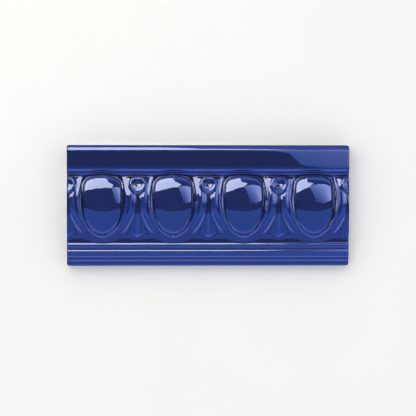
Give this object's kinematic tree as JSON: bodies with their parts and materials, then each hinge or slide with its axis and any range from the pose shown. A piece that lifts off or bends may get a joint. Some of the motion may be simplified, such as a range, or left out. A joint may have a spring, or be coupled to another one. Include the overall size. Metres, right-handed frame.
{
  "type": "egg and dart moulding tile",
  "caption": "Glazed ceramic border tile moulded in high relief with an egg and dart band between a plain top band and stepped foot beads, flat behind for bedding.",
  "frame": {"origin": "middle of the flat back, on the plane the tile lies on", "axes": "+X along the 152 mm length, +Y from the stepped foot to the plain top band, +Z out of the moulded face"},
  "size_m": [0.152, 0.065, 0.017],
  "materials": {
    "blue_glaze": "gloss"
  },
  "bodies": {
    "root": {"moulding_tile": "blue_glaze"}
  },
  "joints": []
}
